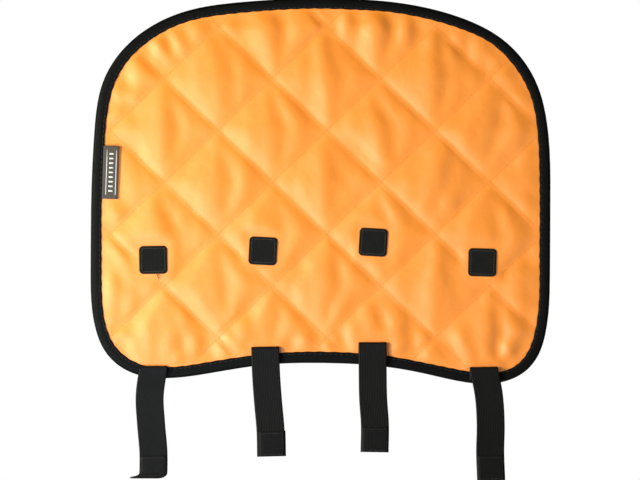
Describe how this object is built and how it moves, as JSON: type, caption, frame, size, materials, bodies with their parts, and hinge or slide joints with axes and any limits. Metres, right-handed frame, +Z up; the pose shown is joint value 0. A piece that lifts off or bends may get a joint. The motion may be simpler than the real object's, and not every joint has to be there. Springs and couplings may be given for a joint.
{
  "type": "quilted fabric pad with strap loops",
  "caption": "Flat quilted fabric pad with bound rounded edges, diamond stitching, an arched hem, sewn loop patches and hook-ended straps that fold up into loops.",
  "frame": {"origin": "middle of the panel on its flat back face", "axes": "+X to the right as seen from the front, +Z up towards the top edge, +Y out of the back face; the quilted front faces -Y"},
  "size_m": [0.3282, 0.0144, 0.3438],
  "materials": {
    "face_cloth": "matte woven, quilted",
    "wadding": "matte felt",
    "liner_cloth": "matte woven, quilted",
    "binding_tape": "satin ribbed",
    "black_thread": "satin",
    "orange_thread": "satin",
    "pile_tape": "matte brushed pile",
    "hook_tape": "matte hooked",
    "strap_webbing": "matte ribbed",
    "label_cloth": "satin woven"
  },
  "bodies": {
    "panel": {"face_fabric": "face_cloth", "padding_core": "wadding", "back_liner": "liner_cloth", "edge_binding": "binding_tape", "binding_stitching": "black_thread", "quilting_stitching": "orange_thread", "loop_patch_1": "pile_tape", "patch_stitching_1": "black_thread", "strap_root_1": "strap_webbing", "root_stitching_1": "black_thread", "loop_patch_2": "pile_tape", "patch_stitching_2": "black_thread", "strap_root_2": "strap_webbing", "root_stitching_2": "black_thread", "loop_patch_3": "pile_tape", "patch_stitching_3": "black_thread", "strap_root_3": "strap_webbing", "root_stitching_3": "black_thread", "loop_patch_4": "pile_tape", "patch_stitching_4": "black_thread", "strap_root_4": "strap_webbing", "root_stitching_4": "black_thread"},
    "strap_1": {"strap_tail_1": "strap_webbing", "hook_tape_1": "hook_tape", "hook_stitching_1": "black_thread"},
    "strap_2": {"strap_tail_2": "strap_webbing", "hook_tape_2": "hook_tape", "hook_stitching_2": "black_thread"},
    "strap_3": {"strap_tail_3": "strap_webbing", "hook_tape_3": "hook_tape", "hook_stitching_3": "black_thread"},
    "strap_4": {"strap_tail_4": "strap_webbing", "hook_tape_4": "hook_tape", "hook_stitching_4": "black_thread"},
    "label": {"side_label": "label_cloth"}
  },
  "joints": [
    {"name": "strap_1_turn", "type": "hinge", "parent": "panel", "child": "strap_1", "pos_m": [-0.1191, -0.00675, -0.12509], "axis": [-1, 0, -0.0074], "range_deg": [0, 174]},
    {"name": "strap_2_turn", "type": "hinge", "parent": "panel", "child": "strap_2", "pos_m": [-0.0394, -0.00675, -0.11149], "axis": [-0.9991, 0, -0.0412], "range_deg": [0, 174]},
    {"name": "strap_3_turn", "type": "hinge", "parent": "panel", "child": "strap_3", "pos_m": [0.0371, -0.00675, -0.10829], "axis": [-1, 0, -0.0059], "range_deg": [0, 174]},
    {"name": "strap_4_turn", "type": "hinge", "parent": "panel", "child": "strap_4", "pos_m": [0.1163, -0.00675, -0.12589], "axis": [-0.9993, 0, -0.0381], "range_deg": [0, 174]},
    {"name": "label_turn", "type": "hinge", "parent": "panel", "child": "label", "pos_m": [-0.15485, -0.0049, 0.013], "axis": [-0.0349, 0, -0.9994], "range_deg": [0, 140]}
  ]
}
